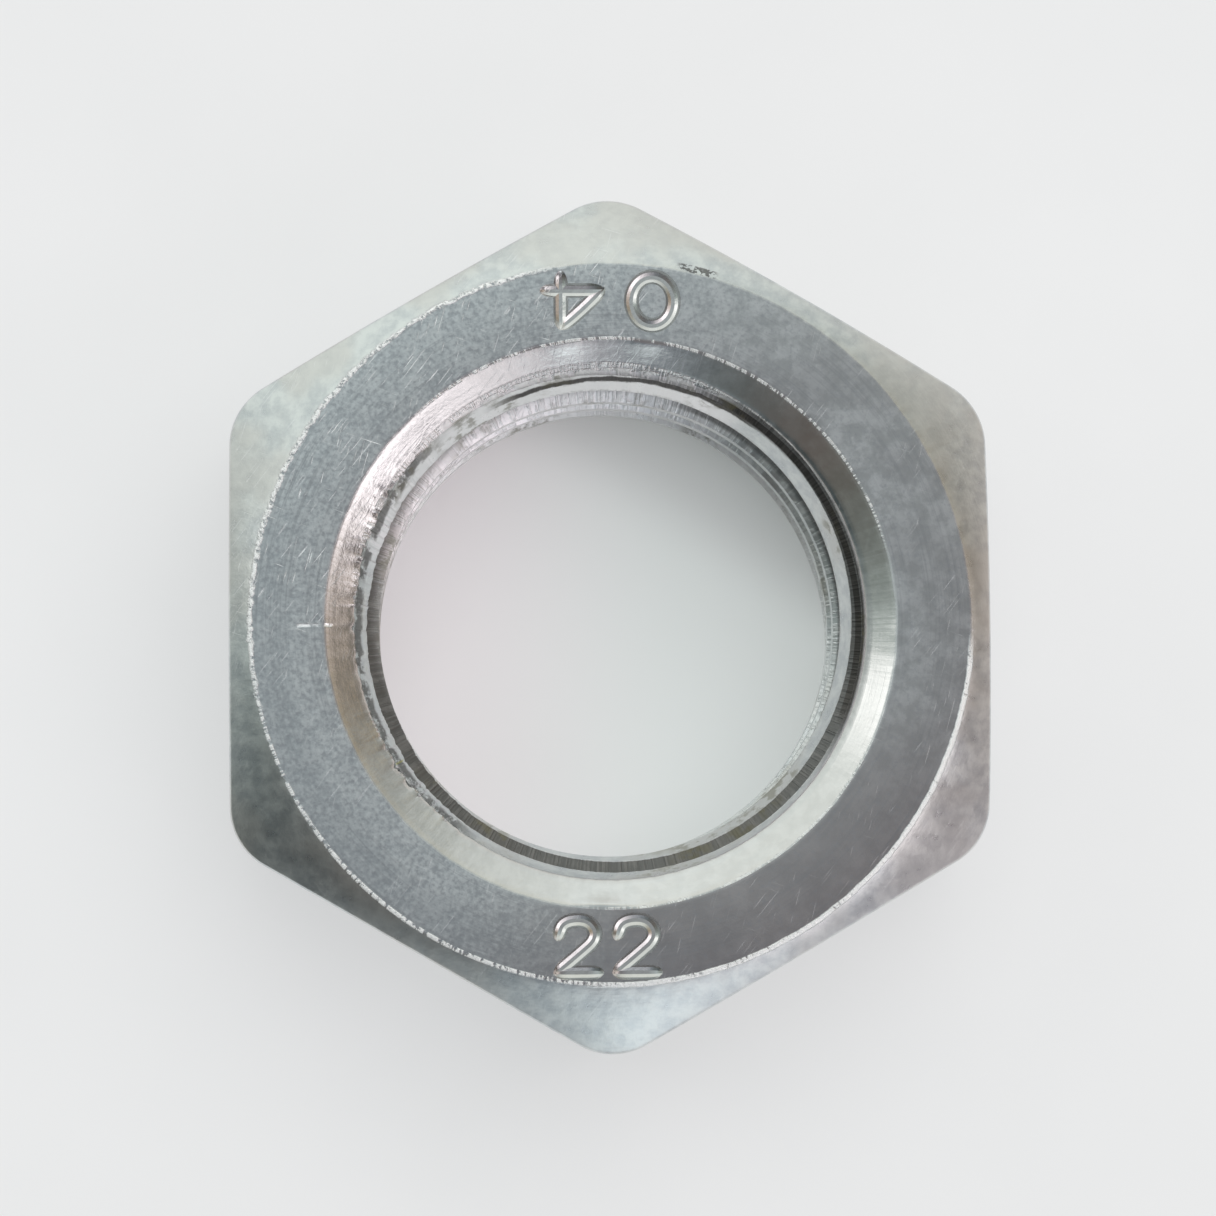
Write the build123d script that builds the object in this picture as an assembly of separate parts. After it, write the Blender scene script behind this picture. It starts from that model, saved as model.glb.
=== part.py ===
from build123d import *
import os
from math import ceil, cos, radians, tan

# Hexagon thin nut (jam nut), M22 x 2.5 coarse thread, 32 mm across flats.
#
# Frame: millimetres, +Z along the thread axis, origin in the middle of the lower bearing face,
# two flats facing +X and -X, two corners on the Y axis.

# ---- driving dimensions (mm, degrees) ----
across_flats = 32.0             # width between opposite flats
height = 11.0                   # from bearing face to bearing face
corner_round = 2.8              # radius forged on the six upright edges
bearing_margin = 0.9            # from the middle of a flat in to the flat ring of a bearing face
face_chamfer_angle = 28.0       # slope of the turned face chamfer, from the bearing face
major_diameter = 22.0           # thread diameter at the bottom of the nut's groove
pitch = 2.5                     # advance of the right-hand thread in one turn
flank_angle = 60.0              # between the two flanks of the groove
thread_start_angle = 210.0      # from +X, where the groove's middle crosses the upper bearing face
countersink_margin = 1.0        # from the thread's root out to the mouth of a countersink
countersink_angle = 120.0       # included angle of the countersink in each bearing face
countersink_depth = 0.72        # of the upper countersink, down to its steeper throat
throat_angle = 40.0             # included angle of that throat

# ---- sizes that follow ----
across_corners = across_flats / cos(radians(30))
bearing_radius = across_flats / 2 - bearing_margin
root_radius = major_diameter / 2
bore_radius = (major_diameter - pitch) / 2      # of the tapping drill, which leaves the crests
root_flat = pitch / 8
mouth_radius = root_radius + countersink_margin
throat_radius = mouth_radius - countersink_depth * tan(radians(countersink_angle / 2))


def hexagon_bar():
    """Length of hexagon bar with its upright edges rounded."""
    outline = RegularPolygon(across_corners / 2, side_count=6, rotation=30)
    outline = fillet(outline.vertices(), corner_round)
    return extrude(outline, height)


def chamfered_blank():
    """Hexagon bar turned to a face chamfer on both ends, still without its hole."""
    rim = across_corners / 2
    chamfer_drop = (rim - bearing_radius) * tan(radians(face_chamfer_angle))
    profile = Polyline(
        (0, 0),
        (bearing_radius, 0),
        (rim, chamfer_drop),
        (rim, height - chamfer_drop),
        (bearing_radius, height),
        (0, height),
        close=True,
    )
    return hexagon_bar() & revolve(Plane.XZ * make_face(profile), Axis.Z)


def tap():
    """Drill and thread groove as one tool, in whole turns, longer than the nut at both ends."""
    length = (ceil(height / pitch) + 2) * pitch
    start = Pos(0, 0, -pitch)
    inner_radius = bore_radius - pitch / 8
    root_half = root_flat / 2
    inner_half = root_half + (root_radius - inner_radius) * tan(radians(flank_angle / 2))
    groove_section = Polyline(
        (inner_radius, -inner_half),
        (root_radius, -root_half),
        (root_radius, root_half),
        (inner_radius, inner_half),
        close=True,
    )
    helix = start * Helix(pitch, length, bore_radius)
    groove = sweep(start * (Plane.XZ * make_face(groove_section)), path=helix, is_frenet=True)
    drill = start * Cylinder(bore_radius, length, align=(Align.CENTER, Align.CENTER, Align.MIN))
    turned_at_top = 360 * (height + pitch) / pitch
    return Rot(0, 0, thread_start_angle - turned_at_top) * (drill + groove)


def cone_cut(radius, depth, included_angle):
    """Cone that opens the hole from z = 0 upwards, its side passing a radius at a depth."""
    slope = tan(radians(included_angle / 2))
    overrun = pitch
    section = Polyline(
        (0, -overrun),
        (radius + (depth + overrun) * slope, -overrun),
        (0, depth + radius / slope),
        close=True,
    )
    return revolve(Plane.XZ * make_face(section), Axis.Z)


countersink = cone_cut(mouth_radius, 0, countersink_angle)
throat = cone_cut(throat_radius, countersink_depth, throat_angle)
upper_end = Pos(0, 0, height) * Rot(180, 0, 0)
nut = chamfered_blank() - tap() - countersink - upper_end * countersink - upper_end * throat

os.makedirs("parts", exist_ok=True)
export_step(nut, "parts/nut.step")
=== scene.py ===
from math import atan2, ceil, cos, hypot, pi, radians, sin, sqrt, tan

import bpy
from mathutils import Matrix, Vector, noise


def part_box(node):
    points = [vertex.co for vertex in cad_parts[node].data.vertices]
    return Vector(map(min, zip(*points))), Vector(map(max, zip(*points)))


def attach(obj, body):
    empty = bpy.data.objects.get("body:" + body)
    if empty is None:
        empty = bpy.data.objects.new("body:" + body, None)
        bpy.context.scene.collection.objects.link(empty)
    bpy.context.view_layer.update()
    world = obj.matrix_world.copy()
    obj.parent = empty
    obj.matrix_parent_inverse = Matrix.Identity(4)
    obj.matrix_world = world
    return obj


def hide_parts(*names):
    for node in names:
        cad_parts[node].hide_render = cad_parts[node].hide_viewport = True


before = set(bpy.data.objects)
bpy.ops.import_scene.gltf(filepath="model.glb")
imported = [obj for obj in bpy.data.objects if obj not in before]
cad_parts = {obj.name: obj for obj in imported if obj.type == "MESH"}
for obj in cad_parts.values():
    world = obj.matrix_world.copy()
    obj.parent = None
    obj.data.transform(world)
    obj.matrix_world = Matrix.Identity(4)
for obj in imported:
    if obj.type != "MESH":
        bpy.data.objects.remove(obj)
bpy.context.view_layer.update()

# ---- Nut blank: a short hexagon of carbon steel, cold forged between dies ----
# Both ends are turned to a flat bearing ring inside a shallow chamfer cone, and the hole is opened
# by a polished countersink with a steeper throat. The stamps and the tap cut it in the next sections.
MM = 0.001
low, high = (Vector(corner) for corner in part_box("nut"))
height = high.z - low.z
flat_reach = (high.x - low.x) / 2        # from the axis to a flat
corner_round = 2.8 * MM                  # forged on the six upright edges
bearing_radius = 15.1 * MM               # outer edge of the flat ring
chamfer_slope = tan(radians(28))         # fall of the chamfer for each step outwards
mouth_radius = 12.0 * MM                 # where the countersink meets the bearing face
cone_slope = tan(radians(60))            # step outwards of the countersink for each rise
cone_depth = 0.72 * MM                   # where the throat takes over from the countersink
throat_slope = tan(radians(20))          # step outwards of the throat at the marked end
drilled_radius = 9.4 * MM                # left for the tap to clear
edge_strip = 0.3 * MM                    # beside an edge, where its wandering dies out
outline_rounding = 0.14 * MM             # of the chamfer's foot on the flats
bearing_rounding = 0.07 * MM             # of the chamfer's edge on the bearing face
mouth_rounding = 0.12 * MM
foot_rounding = 0.10 * MM                # of the countersink's foot on the throat
squeezes = [                             # of the mouth: degree, reach, and millimetres inwards
    (82, 8, 0.13), (99, 6, 0.08), (268, 9, 0.22),
]
tears = [(165, 42), (215, 30)]           # of the countersink's foot: degree and reach
steps_round = 720


def deselect_all():
    bpy.ops.object.select_all(action="DESELECT")


def hexagon_reach(angle):
    """From the axis to the hexagon's outline, corners rounded, in the direction of an angle."""
    from_flat = abs((angle + pi / 6) % (pi / 3) - pi / 6)
    start_of_round = atan2((flat_reach - corner_round) * tan(pi / 6), flat_reach)
    if from_flat <= start_of_round:
        return flat_reach / cos(from_flat)
    from_corner = pi / 6 - from_flat
    centre = (flat_reach - corner_round) / cos(pi / 6)
    return centre * cos(from_corner) + sqrt(corner_round**2 - (centre * sin(from_corner))**2)


def waver(angle, waves, size, along=0.0):
    """An edge's small wandering from its true circle, the same after a full turn."""
    return size * noise.noise(Vector((waves * cos(angle), waves * sin(angle), along)))


def near(angle, middle, reach):
    """1 at a middle in degrees, falling smoothly to 0 at a reach either side of it."""
    off = abs((angle - radians(middle) + pi) % (2 * pi) - pi) / radians(reach)
    return (1 + cos(pi * off)) / 2 if off < 1 else 0.0


def turned_ring(name, stations):
    """A ring of metal turned on the thread axis through stations of radius and height."""
    deselect_all()
    radius, z = stations[0]
    bpy.ops.mesh.primitive_circle_add(vertices=steps_round, radius=radius, location=(0, 0, 0))
    ring = bpy.context.object
    ring.name = ring.data.name = name
    bpy.ops.object.mode_set(mode="EDIT")
    bpy.ops.transform.translate(value=(0, 0, z))
    for next_radius, next_z in stations[1:] + stations[:1]:
        bpy.ops.mesh.extrude_edges_move(TRANSFORM_OT_translate={"value": (0, 0, next_z - z)})
        grow = next_radius / radius
        bpy.ops.transform.resize(value=(grow, grow, 1))
        radius, z = next_radius, next_z
    bpy.ops.mesh.select_all(action="SELECT")
    bpy.ops.mesh.remove_doubles(threshold=1e-6)
    bpy.ops.mesh.normals_make_consistent(inside=False)
    bpy.ops.object.mode_set(mode="OBJECT")
    return ring


def bevel_loop(piece, radius_at, z, width, segments):
    """Round the edges that run round the nut at a radius and at a height, given or worked out."""
    slack = 0.02 * MM
    bpy.ops.object.mode_set(mode="EDIT")
    bpy.ops.mesh.select_mode(type="EDGE")
    bpy.ops.mesh.select_all(action="DESELECT")
    bpy.ops.object.mode_set(mode="OBJECT")
    points = piece.data.vertices
    for edge in piece.data.edges:
        ends = [points[i].co for i in edge.vertices]
        edge.select = abs(ends[0].z - ends[1].z) < MM and all(
            abs(end.z - (z(end) if callable(z) else z)) < slack
            and abs(hypot(end.x, end.y) - radius_at(end)) < slack
            for end in ends)
    bpy.ops.object.mode_set(mode="EDIT")
    bpy.ops.mesh.bevel(offset=width, segments=segments, affect="EDGES")
    bpy.ops.object.mode_set(mode="OBJECT")


throat_radius = mouth_radius - cone_depth * cone_slope
rim = hexagon_reach(pi / 2)
drop = (rim - bearing_radius) * chamfer_slope
strip_fall = edge_strip / cone_slope
nut = turned_ring("hex_nut", [
    (drilled_radius, height - cone_depth - (throat_radius - drilled_radius) / throat_slope),
    (throat_radius, height - cone_depth),
    (throat_radius + edge_strip, height - cone_depth + strip_fall),
    (mouth_radius - edge_strip, height - strip_fall),
    (mouth_radius, height),
    (bearing_radius, height),
    (bearing_radius + edge_strip, height - edge_strip * chamfer_slope),
    (rim, height - drop),
    (rim, drop),
    (bearing_radius, 0),
    (mouth_radius, 0),
    (drilled_radius, (mouth_radius - drilled_radius) / cone_slope),
])


def mouth_at(end):
    """The countersink's mouth, squeezed inwards beside the stamps at the marked end."""
    angle = atan2(end.y, end.x)
    if end.z < height / 2:
        return mouth_radius + waver(angle, 9, 0.03 * MM, 4)
    squeeze = sum(depth * near(angle, middle, reach) for middle, reach, depth in squeezes)
    return mouth_radius - squeeze * MM + waver(angle, 11, 0.035 * MM) + waver(angle, 60, 0.012 * MM)


def foot_at(end):
    """The foot of the countersink, torn by the tap where its first turns bit."""
    angle = atan2(end.y, end.x)
    torn = max(0.12, *(near(angle, middle, reach) for middle, reach in tears))
    return throat_radius + torn * (waver(angle, 30, 0.16 * MM, 2) + waver(angle, 110, 0.10 * MM, 5))


def bearing_at(end):
    """The edge between the bearing face and the chamfer, rubbed and burred."""
    angle = atan2(end.y, end.x)
    rubbed = waver(angle, 12, 0.05 * MM, 7) + waver(angle, 90, 0.035 * MM, 8)
    return bearing_radius + rubbed + 0.06 * MM * near(angle, 150, 50)


def outline_at(end):
    return hexagon_reach(atan2(end.y, end.x))


def chamfer_foot(end):
    fall = (outline_at(end) - bearing_radius) * chamfer_slope
    return height - fall if end.z > height / 2 else fall


def move_out(point, reach):
    across = hypot(point.x, point.y)
    point.x *= reach / across
    point.y *= reach / across


for point in nut.data.vertices:
    across = hypot(point.co.x, point.co.y)
    on_face = min(point.co.z, height - point.co.z) < 0.01 * MM
    if across > flat_reach + MM:
        point.co.z = chamfer_foot(point.co)
        move_out(point.co, outline_at(point.co))
    elif on_face and across > mouth_radius + MM:
        move_out(point.co, bearing_at(point.co))
    elif on_face:
        move_out(point.co, mouth_at(point.co))
    elif abs(across - mouth_radius + edge_strip) < 0.01 * MM:
        move_out(point.co, (mouth_at(point.co) + mouth_radius) / 2 - edge_strip)
    elif abs(across - throat_radius) < 0.1 * MM and point.co.z > height / 2:
        move_out(point.co, foot_at(point.co))

bevel_loop(nut, outline_at, chamfer_foot, outline_rounding, 3)
for face_z in (0, height):
    bevel_loop(nut, bearing_at, face_z, bearing_rounding, 2)
    bevel_loop(nut, mouth_at, face_z, mouth_rounding, 3)
bevel_loop(nut, foot_at, height - cone_depth, foot_rounding, 2)

# ---- Stamps: plain figures struck cold into the marked face by round-nosed punches ----
# The class number of thin nuts stands with its tops to the hole, and the thread's size opposite it.
# Strokes are in millimetres from a figure's middle, x to its right and y to its top.
stroke_radius = 0.34 * MM                # of the punch's nose
stroke_lift = 0.12 * MM                  # of the nose's middle above the face
nose_reach = 0.22                        # of a stroke's rounded end past its last point
nose_size = 0.3                          # of the stroke's tip, as a share of its radius
first_lift = 0.0013                      # of a figure's first stroke
lift_step = 0.004                        # of each next one, so that no two share a plane
stamp_line = 13.52 * MM                  # from the axis to the middle of the figures
oval = [(0.90 * cos(turn * pi / 8), 1.05 * sin(turn * pi / 8)) for turn in range(16)]
figures = {
    "0": [oval + oval[:1]],
    "4": [[(0.42, 1.05), (-0.45, 0.3), (-1.2, -0.45)], [(-1.2, -0.45), (0, -0.45), (1.2, -0.45)],
          [(0.5, 1.05), (0.5, 0), (0.5, -1.12)]],
    "2": [[(-0.82, 0.42), (-0.6, 1.06), (0.45, 1.12), (0.85, 0.38), (0, -0.36), (-0.85, -1.05)],
          [(-0.85, -1.08), (0, -1.08), (0.9, -1.08)]],
}
struck = [                               # figure, place across, and 1 for the far side
    ("0", 1.80, 1), ("4", -1.55, 1), ("2", -1.50, -1), ("2", 0.95, -1),
]


def cut(piece, tool):
    """Cut a tool out of a piece, then put the tool away."""
    deselect_all()
    bpy.context.view_layer.objects.active = piece
    piece.select_set(True)
    bite = piece.modifiers.new("cut", "BOOLEAN")
    bite.operation = "DIFFERENCE"
    bite.solver = "EXACT"
    bite.object = tool
    bpy.ops.object.modifier_apply(modifier="cut")
    bpy.data.objects.remove(tool)


def punched_stroke(points):
    """One stroke of a figure as a round bar, a closed ring or thinning to a nose at both ends."""
    ring = points[0] == points[-1]
    if ring:
        places, sizes = points[:-1], [1.0] * (len(points) - 1)
    else:
        first, last = Vector(points[0]), Vector(points[-1])
        before = first + (first - Vector(points[1])).normalized() * nose_reach
        after = last + (last - Vector(points[-2])).normalized() * nose_reach
        places = [before] + points + [after]
        sizes = [nose_size] + [1.0] * len(points) + [nose_size]
    deselect_all()
    bpy.ops.curve.primitive_nurbs_path_add(location=(0, 0, 0))
    stroke = bpy.context.object
    line = stroke.data.splines[0]
    while len(line.points) < len(places):
        line.points.add(1)
    for point, place, size in zip(line.points, places, sizes):
        point.co = (place[0] * MM, place[1] * MM, stroke_lift, 1)
        point.radius = size
    line.order_u = 3
    line.use_endpoint_u = not ring
    line.use_cyclic_u = ring
    stroke.data.resolution_u = 6
    stroke.data.bevel_depth = stroke_radius
    stroke.data.bevel_resolution = 5
    stroke.data.use_fill_caps = True
    bpy.ops.object.convert(target="MESH")
    return bpy.context.object


for figure, across, side in struck:
    upright = Matrix.Rotation(pi if side == 1 else 0, 4, "Z")
    for count, points in enumerate(figures[figure]):
        bar = punched_stroke(points)
        lift = height + (lift_step * count + first_lift) * MM
        bar.data.transform(Matrix.Translation((across * MM, side * stamp_line, lift)) @ upright)
        bpy.ops.object.mode_set(mode="EDIT")
        bpy.ops.mesh.select_all(action="SELECT")
        bpy.ops.mesh.remove_doubles(threshold=1e-7)
        bpy.ops.mesh.normals_make_consistent(inside=False)
        bpy.ops.object.mode_set(mode="OBJECT")
        cut(nut, bar)

# ---- Thread: M22 x 2.5 cut by a tap, right hand ----
# A coarse thread with 60 degree flanks, tapped in the drilled hole. The tap is the solid that its
# profile sweeps, longer than the nut at both ends, and it is cut out in one pass.
pitch = 2.5 * MM
thread_root = 11.0 * MM
thread_crest = 9.75 * MM
flank = tan(radians(30))                 # step along the axis of a flank for each step inwards
root_half = pitch / 16                   # half of the groove's flat at its root
thread_start = radians(210)              # where the groove's middle crosses the upper face
tap_overrun = 0.6 * MM                   # past each face
steps_a_turn = 240
turns = ceil(height / pitch) + 2
groove_half = root_half + (thread_root - thread_crest) * flank
thread_profile = [
    (thread_crest, -pitch / 2),
    (thread_crest, -groove_half),
    (thread_root, -root_half),
    (thread_root, root_half),
    (thread_crest, groove_half),
    (thread_crest, pitch / 2),
]
deselect_all()
bpy.ops.mesh.primitive_plane_add(size=pitch, location=(0, 0, 0))
tap = bpy.context.object
tap.name = tap.data.name = "tap"
bpy.ops.object.mode_set(mode="EDIT")
bpy.ops.mesh.select_mode(type="VERT")
bpy.ops.mesh.select_all(action="SELECT")
bpy.ops.mesh.merge(type="CENTER")
bpy.ops.mesh.select_all(action="SELECT")
reached = Vector((0, 0, 0))
for count, (radius, z) in enumerate(thread_profile):
    move = Vector((radius, 0, z)) - reached
    reached = Vector((radius, 0, z))
    if count == 0:
        bpy.ops.transform.translate(value=move)
    else:
        bpy.ops.mesh.extrude_vertices_move(TRANSFORM_OT_translate={"value": move})
bpy.ops.object.mode_set(mode="OBJECT")
helix = tap.modifiers.new("helix", "SCREW")
helix.screw_offset = pitch
helix.iterations = turns
helix.steps = helix.render_steps = steps_a_turn
helix.use_merge_vertices = True
helix.merge_threshold = 1e-6
bpy.ops.object.modifier_apply(modifier="helix")
bpy.ops.object.mode_set(mode="EDIT")
bpy.ops.mesh.select_all(action="SELECT")
bpy.ops.transform.translate(value=(0, 0, -pitch))
bpy.ops.mesh.remove_doubles(threshold=1e-6)
for cut_z, outward in ((-tap_overrun, -1), (height + tap_overrun, 1)):
    bpy.ops.mesh.select_all(action="SELECT")
    bpy.ops.mesh.bisect(plane_co=(0, 0, cut_z), plane_no=(0, 0, outward), use_fill=True,
                        clear_outer=True, threshold=1e-7)
bpy.ops.mesh.select_all(action="SELECT")
bpy.ops.mesh.normals_make_consistent(inside=False)
bpy.ops.object.mode_set(mode="OBJECT")
turned_at_top = 2 * pi * (height + pitch) / pitch
tap.rotation_euler.z = thread_start - turned_at_top
bpy.ops.object.transform_apply(location=True, rotation=True, scale=True)
cut(nut, tap)

# The edges' narrow roundings keep their facets, so the flat and turned faces beside them stay true.
deselect_all()
bpy.context.view_layer.objects.active = nut
nut.select_set(True)
bpy.ops.object.shade_smooth_by_angle(angle=radians(14))

# ---- Finish: bright zinc plate over forged and turned steel, rubbed, scratched and a little dirty ----
# The faces keep their forged grain, the chamfers and countersinks were turned, and the tap left dark,
# torn metal and oil in the first turns of the groove, where part of the dark is painted shade. Rubbed
# edges are bare and bright, partly as painted highlights.
forged_zinc = (0.57, 0.60, 0.61), (0.74, 0.77, 0.76)    # dark and light of its mottle
clouded_zinc = (0.66, 0.65, 0.62)
face_zinc = (0.52, 0.53, 0.535), (0.68, 0.69, 0.70)     # of the marked face where it is calm
painted_shade_face, dull_face = (0.43, 0.40, 0.40), (0.36, 0.35, 0.36)
grainy_zinc = (0.57, 0.60, 0.62), (0.77, 0.80, 0.81)    # of the marked face on its forged side
painted_glint_zinc, grain_shade = (0.84, 0.87, 0.88), (0.42, 0.43, 0.46)
brushed_zinc = (0.36, 0.37, 0.39)
darker_rim_zinc = (0.34, 0.37, 0.40)
polished_zinc = (0.64, 0.64, 0.63), (0.70, 0.70, 0.69)
# painted reflection on the bore's shallow side, and painted light low in the bore
painted_reflection_zinc, painted_low_bore_zinc = (0.93, 0.92, 0.93), (0.95, 0.96, 0.96)
scratched_zinc = (0.92, 0.94, 0.94)
# bare steel, partly painted bright as edge highlights
bare_glinting_steel = (0.90, 0.91, 0.90)
# black oil, also used as painted shade in the groove
black_oil_and_shade = (0.020, 0.018, 0.016), (0.17, 0.155, 0.14)
thin_oil = (0.12, 0.11, 0.05)
straw = (0.42, 0.40, 0.14)               # a dry fibre left in the throat


def add_node(tree, kind, values=(), **settings):
    """A node in a tree, its first inputs linked to other nodes' outputs or set to values."""
    node = tree.nodes.new(kind)
    for key, setting in settings.items():
        setattr(node, key, setting)
    for socket, value in zip(node.inputs, values):
        if isinstance(value, bpy.types.NodeSocket):
            tree.links.new(value, socket)
        elif value is not None:
            socket.default_value = value
    return node


def object_place(tree):
    return add_node(tree, "ShaderNodeTexCoord").outputs["Object"]


def parts_of(tree, vector):
    return add_node(tree, "ShaderNodeSeparateXYZ", (vector,)).outputs


def vector_maths(tree, operation, *values):
    return add_node(tree, "ShaderNodeVectorMath", values, operation=operation).outputs


def maths(tree, operation, *values):
    return add_node(tree, "ShaderNodeMath", values, operation=operation).outputs[0]


def product(tree, first, *others):
    for other in others:
        first = maths(tree, "MULTIPLY", first, other)
    return first


def outside_of(tree, mask):
    return maths(tree, "SUBTRACT", 1.0, mask)


def smooth_step(tree, value, start, end):
    """0 at the start, 1 at the end, and smooth in between."""
    step = add_node(tree, "ShaderNodeMapRange", (value, start, end), interpolation_type="SMOOTHSTEP")
    return step.outputs[0]


def band(tree, value, inner, outer, soft):
    """1 between an inner and an outer limit, falling to 0 outside them."""
    return product(tree, smooth_step(tree, value, inner - soft, inner),
                   smooth_step(tree, value, outer + soft, outer))


def cloud(tree, vector, scale, detail=2.0, rough=0.5):
    """Smooth random grey from 0 to 1, its patches about 1 / scale across."""
    return add_node(tree, "ShaderNodeTexNoise", (vector, None, scale, detail, rough)).outputs["Fac"]


def mixed_colour(tree, share, first, second):
    mix = add_node(tree, "ShaderNodeMix", data_type="RGBA")
    for socket, value in ((mix.inputs["Factor"], share), (mix.inputs[6], first), (mix.inputs[7], second)):
        if isinstance(value, bpy.types.NodeSocket):
            tree.links.new(value, socket)
        else:
            socket.default_value = value if isinstance(value, (int, float)) else (*value, 1)
    return mix.outputs[2]


def new_group(name, inputs, outputs, vector_outputs=()):
    """An empty node group with its sockets, and the node that brings in its inputs."""
    group = bpy.data.node_groups.new(name, "ShaderNodeTree")
    for socket, start in inputs.items():
        made = group.interface.new_socket(socket, in_out="INPUT", socket_type="NodeSocketFloat")
        made.default_value = start
    for socket in outputs:
        group.interface.new_socket(socket, in_out="OUTPUT", socket_type="NodeSocketFloat")
    for socket in vector_outputs:
        group.interface.new_socket(socket, in_out="OUTPUT", socket_type="NodeSocketVector")
    return group, group.nodes.new("NodeGroupInput").outputs


# Where a point lies on the nut, worked out from its place and from how far its surface leans.
places, _ = new_group("nut_places", {}, (
    "From Axis", "Angle", "Depth", "Face", "Stamp", "Chamfer", "Flat", "Countersink", "Bore"), ("Round",))
coordinates = add_node(places, "ShaderNodeTexCoord").outputs
x, y, z = parts_of(places, coordinates["Object"])
lean = parts_of(places, coordinates["Normal"])["Z"]
from_axis = maths(places, "SQRT", maths(places, "ADD", product(places, x, x), product(places, y, y)))
angle = maths(places, "ARCTAN2", y, x)
from_middle = maths(places, "ABSOLUTE", maths(places, "SUBTRACT", z, height / 2))
depth = maths(places, "SUBTRACT", height / 2, from_middle)
around = add_node(places, "ShaderNodeCombineXYZ", (
    maths(places, "DIVIDE", x, from_axis), maths(places, "DIVIDE", y, from_axis),
    maths(places, "MULTIPLY", z, 20.0))).outputs[0]
upright = smooth_step(places, maths(places, "ABSOLUTE", lean), 0.55, 0.35)
on_ring = band(places, from_axis, mouth_radius, bearing_radius, 0.06 * MM)
sunk = smooth_step(places, depth, 0.012 * MM, 0.03 * MM)
outside = smooth_step(places, from_axis, bearing_radius, bearing_radius + 0.05 * MM)
add_node(places, "NodeGroupOutput", (
    from_axis, angle, depth,
    product(places, on_ring, outside_of(places, sunk)),
    product(places, on_ring, sunk),
    product(places, outside, outside_of(places, upright)),
    product(places, outside, upright),
    band(places, from_axis, throat_radius, mouth_radius - 0.03 * MM, 0.04 * MM),
    smooth_step(places, from_axis, throat_radius, throat_radius - 0.05 * MM),
    around))

# How far a point lies from the middle of the thread's groove, and whether in it or on its lips.
groove, given = new_group(
    "thread_groove", {"From Axis": 0.0, "Angle": 0.0}, ("Below Middle", "Dark", "Lip"))
level = parts_of(groove, object_place(groove))["Z"]
turns_up = maths(groove, "DIVIDE", maths(groove, "SUBTRACT", level, height), pitch)
turned_on = maths(groove, "SUBTRACT", given["Angle"], thread_start)
phase = maths(groove, "SUBTRACT", turns_up, maths(groove, "DIVIDE", turned_on, 2 * pi))
nearest = maths(groove, "SUBTRACT", phase, maths(groove, "ROUND", phase))
above_root = maths(groove, "SUBTRACT", thread_root, given["From Axis"])
half_width = maths(groove, "MULTIPLY_ADD", above_root, flank, root_half)
from_groove = maths(groove, "MULTIPLY", maths(groove, "ABSOLUTE", nearest), pitch)
inside = maths(groove, "SUBTRACT", half_width, from_groove)
bored = smooth_step(groove, given["From Axis"], thread_root + 0.05 * MM, thread_root)
add_node(groove, "NodeGroupOutput", (
    maths(groove, "MULTIPLY", nearest, -pitch),
    product(groove, bored, smooth_step(groove, inside, -0.05 * MM, 0.02 * MM)),
    product(groove, bored, band(groove, inside, -0.10 * MM, -0.02 * MM, 0.05 * MM))))

# A stretch of the turn, in radians either side of its middle.
arc, given = new_group(
    "stretch_of_turn", {"Angle": 0.0, "Middle": 0.0, "Half": 0.5, "Soft": 0.1}, ("Mask",))
wrapped = maths(arc, "WRAP", maths(arc, "SUBTRACT", given["Angle"], given["Middle"]), pi, -pi)
off = maths(arc, "ABSOLUTE", wrapped)
fade_end = maths(arc, "ADD", given["Half"], given["Soft"])
add_node(arc, "NodeGroupOutput", (smooth_step(arc, off, fade_end, given["Half"]),))

# Straight scratches that run one way, broken into short lengths and gathered in patches.
scratch, given = new_group(
    "scratches", {"Turn": 0.0, "Length": 0.002, "Width": 0.0001, "Rarity": 0.62}, ("Mask",))
turner = add_node(scratch, "ShaderNodeVectorRotate", (object_place(scratch),), rotation_type="Z_AXIS")
scratch.links.new(given["Turn"], turner.inputs["Angle"])
turned_place = turner.outputs[0]
along, across, up = parts_of(scratch, turned_place)
stretched = add_node(scratch, "ShaderNodeCombineXYZ", (
    maths(scratch, "DIVIDE", along, given["Length"]),
    maths(scratch, "DIVIDE", across, given["Width"]),
    maths(scratch, "DIVIDE", up, given["Length"]))).outputs[0]
lines = cloud(scratch, stretched, 1.0, 1.0)
patches = cloud(scratch, turned_place, 450.0)
full_line = maths(scratch, "ADD", given["Rarity"], 0.06)
add_node(scratch, "NodeGroupOutput", (product(
    scratch, smooth_step(scratch, lines, given["Rarity"], full_line),
    smooth_step(scratch, patches, 0.45, 0.62)),))

zinc = bpy.data.materials.new("zinc_plated_steel")
zinc.use_nodes = True
steel = zinc.node_tree
shader = steel.nodes["Principled BSDF"]
place = object_place(steel)
at = add_node(steel, "ShaderNodeGroup", node_tree=places).outputs
on_thread = add_node(steel, "ShaderNodeGroup", (at["From Axis"], at["Angle"]), node_tree=groove).outputs


def stretch(middle, half, soft=12):
    """A mask for a stretch of the turn, in degrees."""
    spans = (radians(middle), radians(half), radians(soft))
    return add_node(steel, "ShaderNodeGroup", (at["Angle"], *spans), node_tree=arc).outputs[0]


def scratches(turn, length, width, rarity):
    """A mask for scratches that run one way, in degrees and millimetres."""
    sizes = (radians(turn), length * MM, width * MM, rarity)
    return add_node(steel, "ShaderNodeGroup", sizes, node_tree=scratch).outputs[0]


def either(*masks):
    first = masks[0]
    for other in masks[1:]:
        first = maths(steel, "MAXIMUM", first, other)
    return first


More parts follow.
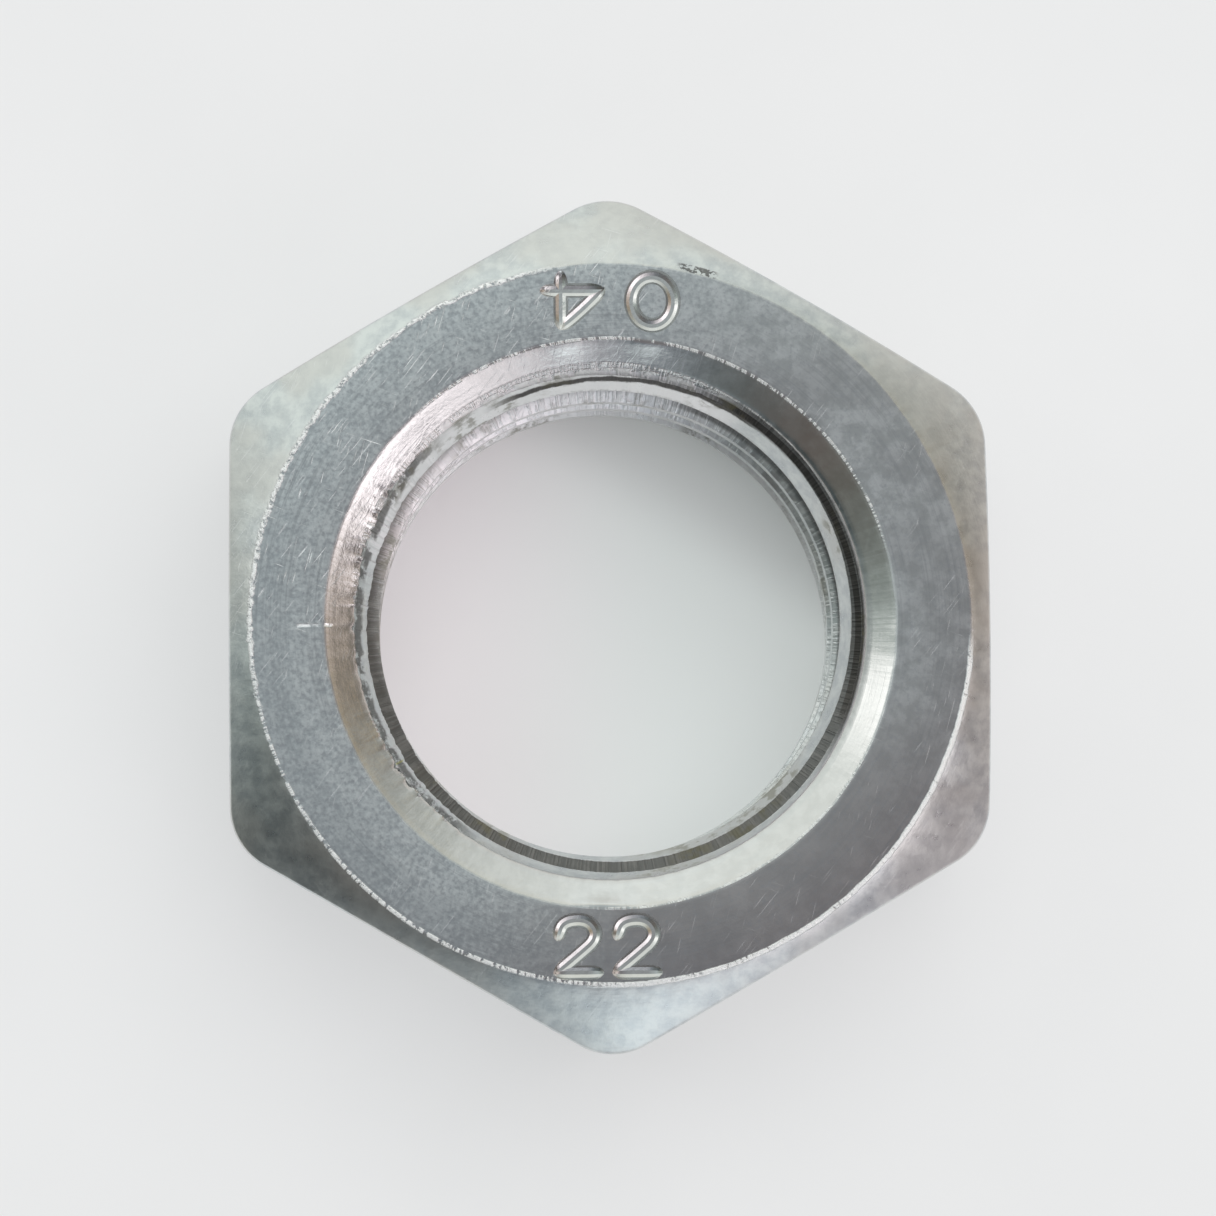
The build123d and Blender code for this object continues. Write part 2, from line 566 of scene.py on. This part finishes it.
# Grain: broad clouds, forged mottle, fine grit, and turning lines round the axis.
clouds = cloud(steel, place, 260.0, 3.0)
mottle = cloud(steel, place, 1500.0, 4.0, 0.6)
grit = cloud(steel, place, 5200.0, 3.0, 0.6)
lines_a_metre = 9000.0
ring_lines = add_node(steel, "ShaderNodeCombineXYZ", (
    maths(steel, "MULTIPLY", at["From Axis"], lines_a_metre),
    maths(steel, "MULTIPLY", at["Depth"], lines_a_metre), None)).outputs[0]
turning = cloud(steel, vector_maths(steel, "ADD", ring_lines, at["Round"])[0], 1.0, 3.0, 0.6)
chatter = cloud(steel, vector_maths(steel, "MULTIPLY", at["Round"], (95.0, 95.0, 4.0))[0], 1.0, 2.0)
forged_side = stretch(165, 70, 45)

# Scratches on the marked face, most of them at its upper left, and one nick across the mouth.
scored = either(scratches(-52, 2.2, 0.07, 0.66), scratches(-75, 1.2, 0.06, 0.68),
                product(steel, scratches(20, 1.6, 0.08, 0.70), 0.8))
scored = product(steel, scored, either(at["Face"], 0.35), either(stretch(135, 38, 25), 0.20))
nick = product(
    steel, band(steel, at["From Axis"], mouth_radius - 0.25 * MM, mouth_radius + 1.05 * MM, 0.15 * MM),
    stretch(180.4, 0.10, 0.35), smooth_step(steel, mottle, 0.34, 0.52))
scored = product(steel, either(scored, nick), outside_of(steel, at["Flat"]))

# Rubbed edges: the chamfer's edge at the left, beaded along the front, a thin burr to the right.
# They and the burrs at the mouth and at the countersink's foot are bare metal, partly painted bright as
# highlights.
edge_off = maths(steel, "SUBTRACT", at["From Axis"], bearing_radius)
mouth_off = maths(steel, "SUBTRACT", at["From Axis"], mouth_radius)
foot_off = maths(steel, "SUBTRACT", at["From Axis"], throat_radius)
crumbs = smooth_step(steel, maths(steel, "MULTIPLY_ADD", mottle, 0.8, chatter), 0.84, 1.00)
beads = smooth_step(steel, maths(steel, "MULTIPLY_ADD", grit, 0.8, chatter), 0.78, 0.95)
shreds = smooth_step(steel, maths(steel, "ADD", grit, chatter), 0.66, 0.90)
ragged_edge = maths(steel, "MULTIPLY", maths(steel, "SUBTRACT", mottle, 0.5), 0.35 * MM)
ragged_off = maths(steel, "ADD", edge_off, ragged_edge)
uneven_off = maths(steel, "MULTIPLY_ADD", ragged_edge, 0.4, edge_off)
rubbed = either(
    product(steel, band(steel, ragged_off, -0.06 * MM, 0.04 * MM, 0.09 * MM),
            stretch(146, 38, 14), smooth_step(steel, grit, 0.36, 0.54)),
    product(steel, band(steel, edge_off, -0.04 * MM, 0.05 * MM, 0.05 * MM),
            stretch(200, 22), crumbs, 0.9),
    product(steel, band(steel, edge_off, -0.06 * MM, 0.05 * MM, 0.05 * MM),
            stretch(246, 28), beads),
    product(steel, band(steel, uneven_off, -0.05 * MM, 0.09 * MM, 0.06 * MM),
            stretch(312, 40, 8), shreds))
mouth_burr_and_glint = product(steel, band(steel, mouth_off, -0.08 * MM, 0.00 * MM, 0.04 * MM),
                     either(stretch(75, 50), product(steel, stretch(300, 28), 0.5)), crumbs, 0.8)
foot_burr_and_glint = product(steel, band(steel, foot_off, -0.10 * MM, 0.06 * MM, 0.06 * MM), stretch(92, 26),
                    smooth_step(steel, mottle, 0.40, 0.58), 0.9)
bare_and_glinting = either(rubbed, mouth_burr_and_glint, foot_burr_and_glint, product(steel, on_thread["Lip"], 0.5, crumbs))

# Dirt and painted shade: torn dark metal and oil where the tap first bit, and in the turns below it.
# The dark in the groove is partly painted shade, and the lower flanks of the lower turns and the bands
# at the countersink's foot to the right and far side are painted shade.
below_mark = maths(steel, "SUBTRACT", height, parts_of(steel, place)["Z"])
deep = smooth_step(steel, at["From Axis"], thread_crest + 0.10 * MM, thread_root - 0.15 * MM)
low_side = smooth_step(steel, on_thread["Below Middle"], 0.25 * MM, 0.55 * MM)
shallow_side = stretch(112, 46, 14)
groove_light_side = product(steel, shallow_side, outside_of(steel, low_side), 0.85)
# oil and painted shade in the groove, left light on its shallow side except low in the groove
oil_and_shade_in_groove = product(steel, on_thread["Dark"], outside_of(steel, groove_light_side))
flattened = vector_maths(steel, "MULTIPLY", place, (1.0, 1.0, 0.3))[0]
ragged = smooth_step(steel, cloud(steel, flattened, 1300.0, 5.0, 0.7), 0.40, 0.50)
torn_off = maths(steel, "ADD", foot_off, ragged_edge)
thin_off = maths(steel, "MULTIPLY_ADD", ragged_edge, 0.4, foot_off)
# torn metal at the left; the bands at the foot to the right and far side are painted shade
torn_foot_and_shade = either(
    product(steel, band(steel, torn_off, -0.22 * MM, -0.07 * MM, 0.12 * MM),
            stretch(185, 44), ragged, 0.70),
    product(steel, band(steel, foot_off, -0.32 * MM, -0.10 * MM, 0.08 * MM), stretch(20, 38, 22), 0.95),
    product(steel, band(steel, thin_off, -0.37 * MM, -0.27 * MM, 0.05 * MM), stretch(84, 26, 12), 0.9))
lower_turns = smooth_step(steel, below_mark, 3.3 * MM, 3.8 * MM)
# painted shade on the lower flank of the lower turns, to the right
painted_shade_low_flank = product(steel, on_thread["Dark"], stretch(15, 50, 16), 0.85, lower_turns,
                  band(steel, on_thread["Below Middle"], 0.36 * MM, 0.70 * MM, 0.10 * MM))
clean_lip = product(steel, lower_turns, outside_of(steel, deep), 0.9)
specks = product(steel, band(steel, edge_off, 0.06 * MM, 0.32 * MM, 0.06 * MM), stretch(76, 2.2, 1.5),
                 smooth_step(steel, grit, 0.50, 0.56), 0.7)
dirt_and_shade = product(steel, oil_and_shade_in_groove, maths(steel, "SUBTRACT", 0.98, clean_lip))
dirt_and_shade = product(steel, either(dirt_and_shade, painted_shade_low_flank), smooth_step(steel, below_mark, 7.5 * MM, 5.5 * MM))
near_mark = smooth_step(steel, below_mark, 3 * MM, 2 * MM)
dirt_and_shade = either(dirt_and_shade, product(steel, either(torn_foot_and_shade, specks), near_mark))
oily_side = either(stretch(290, 50, 20), stretch(175, 50))
streaks = maths(steel, "MULTIPLY", maths(steel, "MULTIPLY_ADD", oily_side, 0.6, 0.4), chatter)
oily = product(steel, at["Bore"], smooth_step(steel, clouds, 0.50, 0.62),
               smooth_step(steel, mottle, 0.45, 0.60))
fibre_place = band(steel, at["From Axis"], 10.1 * MM, 10.75 * MM, 0.05 * MM)
hair = product(steel, stretch(213, 0.12, 0.2), fibre_place,
               smooth_step(steel, below_mark, 1.9 * MM, 1.6 * MM))

# Colour: forged zinc all over, calmer or grainier on the marked face with painted glints on its forged
# side and painted shade on its lower side, polished in the countersinks, brighter on the bore's shallow
# side as a painted reflection and low in the bore as painted light, and then scratches, bare edges partly
# painted as highlights, and oil and dirt partly painted as shade.
pale = mixed_colour(steel, smooth_step(steel, mottle, 0.32, 0.68), *forged_zinc)
clouded = product(steel, smooth_step(steel, clouds, 0.42, 0.62), 0.6)
pale = mixed_colour(steel, clouded, pale, clouded_zinc)
calm = mixed_colour(steel, smooth_step(steel, mottle, 0.36, 0.64), *face_zinc)
# painted shade: the face darker and warmer on its lower side
calm = mixed_colour(steel, product(steel, stretch(285, 34, 40), 0.75), calm, painted_shade_face)
calm = mixed_colour(steel, product(steel, smooth_step(steel, clouds, 0.40, 0.60), 0.30), calm, dull_face)
fine = maths(steel, "MULTIPLY_ADD", grit, 0.6, maths(steel, "MULTIPLY", mottle, 0.4))
grainy = mixed_colour(steel, smooth_step(steel, fine, 0.36, 0.64), *grainy_zinc)
grey = mixed_colour(steel, forged_side, calm, grainy)
# painted glints: bright grit specks on the forged side of the face
glints = product(steel, smooth_step(steel, grit, 0.53, 0.68), forged_side, 0.5)
grey = mixed_colour(steel, glints, grey, painted_glint_zinc)
brushed = product(steel, smooth_step(steel, turning, 0.46, 0.66),
                  maths(steel, "MULTIPLY_ADD", clouds, 1.1, -0.30))
grey = mixed_colour(steel, brushed, grey, brushed_zinc)
# the face darker in a band inside its outer edge at the lower left
darker_rim_band = product(steel, band(steel, edge_off, -1.3 * MM, -0.25 * MM, 0.5 * MM),
                   stretch(225, 50, 30), 0.22)
grey = mixed_colour(steel, darker_rim_band, grey, darker_rim_zinc)
grey = mixed_colour(steel, product(steel, smooth_step(steel, grit, 0.48, 0.34), 0.35), grey, grain_shade)
polished = mixed_colour(steel, smooth_step(steel, mottle, 0.35, 0.65), *polished_zinc)
# painted reflection: the bore bright on its shallow side
pale = mixed_colour(steel, product(steel, at["Bore"], shallow_side), pale, painted_reflection_zinc)
# painted light: the bore brighter near its low end, round the right and far side
painted_low_bore_light = product(steel, at["Bore"], smooth_step(steel, below_mark, 7.0 * MM, 8.5 * MM),
                    stretch(70, 75, 25))
pale = mixed_colour(steel, painted_low_bore_light, pale, painted_low_bore_zinc)
colour = mixed_colour(steel, at["Face"], pale, grey)
colour = mixed_colour(steel, either(at["Countersink"], at["Stamp"]), colour, polished)
colour = mixed_colour(steel, scored, colour, scratched_zinc)
colour = mixed_colour(steel, bare_and_glinting, colour, bare_glinting_steel)
colour = mixed_colour(steel, dirt_and_shade, colour, mixed_colour(steel, streaks, *black_oil_and_shade))
colour = mixed_colour(steel, product(steel, oily, 0.6), colour, thin_oil)
colour = mixed_colour(steel, product(steel, hair, 0.8), colour, straw)
steel.links.new(colour, shader.inputs["Base Color"])

rough = maths(steel, "MULTIPLY_ADD", mottle, 0.16, 0.22)
for mask, change in ((at["Face"], 0.08), (either(at["Countersink"], at["Stamp"]), -0.11),
                     (dirt_and_shade, 0.25), (bare_and_glinting, 0.10)):
    rough = maths(steel, "MULTIPLY_ADD", mask, change, rough)
steel.links.new(rough, shader.inputs["Roughness"])
dulled = maths(steel, "MULTIPLY", either(bare_and_glinting, scored, oily, painted_low_bore_light), 0.50)
steel.links.new(outside_of(steel, dulled), shader.inputs["Metallic"])

# Relief in millimetres: forged peel, grit, turning lines, chatter, scratches cut in and burrs raised.
peel = maths(steel, "MULTIPLY_ADD", at["Countersink"], -0.008, 0.011)
coarse = maths(steel, "MULTIPLY_ADD", forged_side, 0.7, 0.4)
turned = either(at["Chamfer"], at["Countersink"], product(steel, at["Face"], 0.6))
relief = maths(steel, "MULTIPLY", mottle, peel)
for height_of in (product(steel, grit, 0.006, coarse), product(steel, turning, turned, 0.0032),
                  product(steel, chatter, at["Countersink"], 0.0022), product(steel, scored, -0.012),
                  product(steel, bare_and_glinting, grit, 0.05), product(steel, dirt_and_shade, chatter, 0.06)):
    relief = maths(steel, "ADD", relief, height_of)
bump = add_node(steel, "ShaderNodeBump")
bump.inputs["Strength"].default_value = 1.0
bump.inputs["Distance"].default_value = MM
steel.links.new(relief, bump.inputs["Height"])
steel.links.new(bump.outputs[0], shader.inputs["Normal"])
nut.data.materials.append(zinc)
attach(nut, "root")
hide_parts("nut")

# ---- Table: a sheet of smooth white paper under the nut ----
# What the camera and the metal see of it is real paper, for the nut's shadow, mixed with plain white:
# most of that beyond the nut, less in the hole, and least on the hole's shaded side. In the hole the
# white is a painted glow of tinted light, pinkish to the left and greenish to the right.
paper_width = 1.2
paper_white = (0.83, 0.83, 0.83, 1)
paper_fibres = (0.77, 0.78, 0.785), (0.83, 0.835, 0.84)
# painted glow of tinted light in the hole
painted_hole_glow_tints = (0.80, 0.73, 0.76), (0.74, 0.80, 0.78)     # from left to right
shaded_way = (cos(radians(58)), sin(radians(58)), 0)
beyond_share = 0.64
hole_share_lit = 0.42
hole_share_drop = 0.22
deselect_all()
bpy.ops.mesh.primitive_plane_add(size=paper_width, location=(0, 0, 0))
paper = bpy.context.object
paper.name = paper.data.name = "paper"
white = bpy.data.materials.new("white_paper")
white.use_nodes = True
sheet = white.node_tree
paper_shader = sheet.nodes["Principled BSDF"]
paper_shader.inputs["Base Color"].default_value = paper_white
paper_shader.inputs["Roughness"].default_value = 0.7
paper_place = object_place(sheet)
beyond_hole = smooth_step(sheet, vector_maths(sheet, "LENGTH", paper_place)["Value"], 10 * MM, 14 * MM)
from_left = smooth_step(sheet, parts_of(sheet, paper_place)["X"], -8 * MM, 4 * MM)
painted_hole_glow = mixed_colour(sheet, from_left, *painted_hole_glow_tints)
fibre_colour = mixed_colour(sheet, cloud(sheet, paper_place, 90.0, 3.0), *paper_fibres)
plain = add_node(sheet, "ShaderNodeEmission", (
    mixed_colour(sheet, beyond_hole, painted_hole_glow, fibre_colour),))
toward_shade = vector_maths(sheet, "DOT_PRODUCT", paper_place, shaded_way)["Value"]
in_shade = smooth_step(sheet, toward_shade, 4.5 * MM, 8.0 * MM)
hole_share = maths(sheet, "MULTIPLY_ADD", in_shade, -hole_share_drop, hole_share_lit)
plain_share = maths(sheet, "MAXIMUM", hole_share, maths(sheet, "MULTIPLY", beyond_hole, beyond_share))
sight = add_node(sheet, "ShaderNodeLightPath").outputs
in_sight = maths(sheet, "MAXIMUM", sight["Is Camera Ray"], sight["Is Glossy Ray"])
both = add_node(sheet, "ShaderNodeMixShader", (
    product(sheet, in_sight, plain_share), paper_shader.outputs[0], plain.outputs[0]))
sheet.links.new(both.outputs[0], sheet.nodes["Material Output"].inputs["Surface"])
paper.data.materials.append(white)

# ---- Light: a plain studio, pale walls with windows and darker furniture round the table ----
# The world holds what polished zinc mirrors: three belts of wall by compass direction, and a ceiling.
# One wide soft lamp over the table lifts the paper.
table_height = {
    0: (0.70, 0.60, 0.56), 60: (0.80, 0.80, 0.76), 130: (0.92, 0.96, 0.92), 180: (0.55, 0.58, 0.55),
    215: (0.22, 0.22, 0.20), 270: (0.60, 0.60, 0.62), 320: (0.80, 0.74, 0.78),
}
low_wall = {
    0: (0.24, 0.21, 0.18), 20: (0.24, 0.21, 0.175), 40: (0.44, 0.47, 0.45), 62: (0.82, 0.86, 0.84),
    90: (1.06, 1.12, 1.10), 140: (0.90, 0.96, 0.93), 160: (0.58, 0.62, 0.61), 182: (0.28, 0.32, 0.32),
    202: (0.04, 0.06, 0.07), 225: (0.05, 0.065, 0.07), 248: (0.27, 0.31, 0.33), 262: (0.62, 0.68, 0.70),
    280: (1.55, 1.70, 1.75), 296: (0.90, 0.93, 0.97), 315: (0.13, 0.13, 0.15), 340: (0.03, 0.02, 0.03),
}
high_wall = {
    0: (0.82, 0.70, 0.64), 20: (0.44, 0.36, 0.25), 40: (0.56, 0.55, 0.48), 62: (0.82, 0.84, 0.77),
    90: (0.98, 1.00, 0.94), 140: (0.98, 1.02, 0.98), 160: (1.95, 1.96, 1.92), 174: (0.45, 0.52, 0.49),
    190: (0.22, 0.24, 0.22), 205: (0.16, 0.16, 0.14), 220: (0.16, 0.135, 0.12), 245: (0.13, 0.15, 0.15),
    262: (0.22, 0.25, 0.28), 280: (0.50, 0.50, 0.54), 300: (1.16, 1.09, 1.13), 335: (2.30, 2.15, 2.22),
}
ceiling_colours = (0.23, 0.22, 0.23), (0.54, 0.60, 0.61)    # near side and far side
ceiling_way = (cos(radians(120)), sin(radians(120)), 0)
backdrop_colour = (0.80, 0.81, 0.82)
lamp_place = Vector((0.16, 0.24, 0.60))
lamp_size = 0.7
lamp_watts = 3.2
world = bpy.context.scene.world or bpy.data.worlds.new("studio")
bpy.context.scene.world = world
world.use_nodes = True
room = world.node_tree
room.nodes.clear()


def belt(colours, compass):
    """A belt of wall, its colour by compass direction, the same at both ends of the turn."""
    ramp = add_node(room, "ShaderNodeValToRGB", (compass,))
    stops = ramp.color_ramp.elements
    turn = dict(colours)
    turn[360] = turn[0]
    for count, (degree, colour) in enumerate(sorted(turn.items())):
        stop = stops[0] if count == 0 else stops.new(degree / 360) if degree < 360 else stops[-1]
        stop.position = degree / 360
        stop.color = (*colour, 1)
    return ramp.outputs["Color"]


direction = add_node(room, "ShaderNodeTexCoord").outputs["Generated"]
east, north, rise = parts_of(room, direction)
compass = maths(room, "FRACT", maths(room, "DIVIDE", maths(room, "ARCTAN2", north, east), 2 * pi))
far_side = vector_maths(room, "DOT_PRODUCT", direction, ceiling_way)["Value"]
ceiling = mixed_colour(room, smooth_step(room, far_side, -0.30, 0.30), *ceiling_colours)
walls = mixed_colour(room, smooth_step(room, rise, 0.20, 0.40),
                     belt(table_height, compass), belt(low_wall, compass))
walls = mixed_colour(room, smooth_step(room, rise, 0.49, 0.56), walls, belt(high_wall, compass))
mirrored = mixed_colour(room, smooth_step(room, rise, 0.62, 0.88), walls, ceiling)
seen_directly = add_node(room, "ShaderNodeLightPath").outputs["Is Camera Ray"]
backdrop = mixed_colour(room, seen_directly, mirrored, backdrop_colour)
background = add_node(room, "ShaderNodeBackground", (backdrop,))
add_node(room, "ShaderNodeOutputWorld", (background.outputs[0],))

deselect_all()
bpy.ops.object.light_add(type="AREA", location=lamp_place)
lamp = bpy.context.object
lamp.data.size = lamp_size
lamp.data.energy = lamp_watts
lamp.rotation_euler = lamp_place.to_track_quat("Z", "Y").to_euler()
lamp.visible_glossy = False

# ---- Camera: held by hand above the nut, a little to the front and left ----
# It is about 180 mm away, for the slight perspective, and turned by less than a degree.
camera_place = Vector((-8.3 * MM, -11.8 * MM, height + 178 * MM))
aimed_at = Vector((-0.155 * MM, 0.59 * MM, height))
view_width = 50.85 * MM                  # across the frame at the upper face
camera_roll = radians(0.4)
sensor_width = 36                        # in millimetres, as the lens is
forward = (aimed_at - camera_place).normalized()
to_right = forward.cross(Vector((sin(camera_roll), cos(camera_roll), 0))).normalized()
facing = Matrix((to_right, to_right.cross(forward), -forward)).transposed()
deselect_all()
bpy.ops.object.camera_add(location=camera_place, rotation=facing.to_euler())
camera = bpy.context.object
camera.data.sensor_width = sensor_width
camera.data.lens = sensor_width * (aimed_at - camera_place).length / view_width
camera.data.clip_start = 0.01
bpy.context.scene.camera = camera
bpy.context.scene.view_settings.view_transform = "Standard"
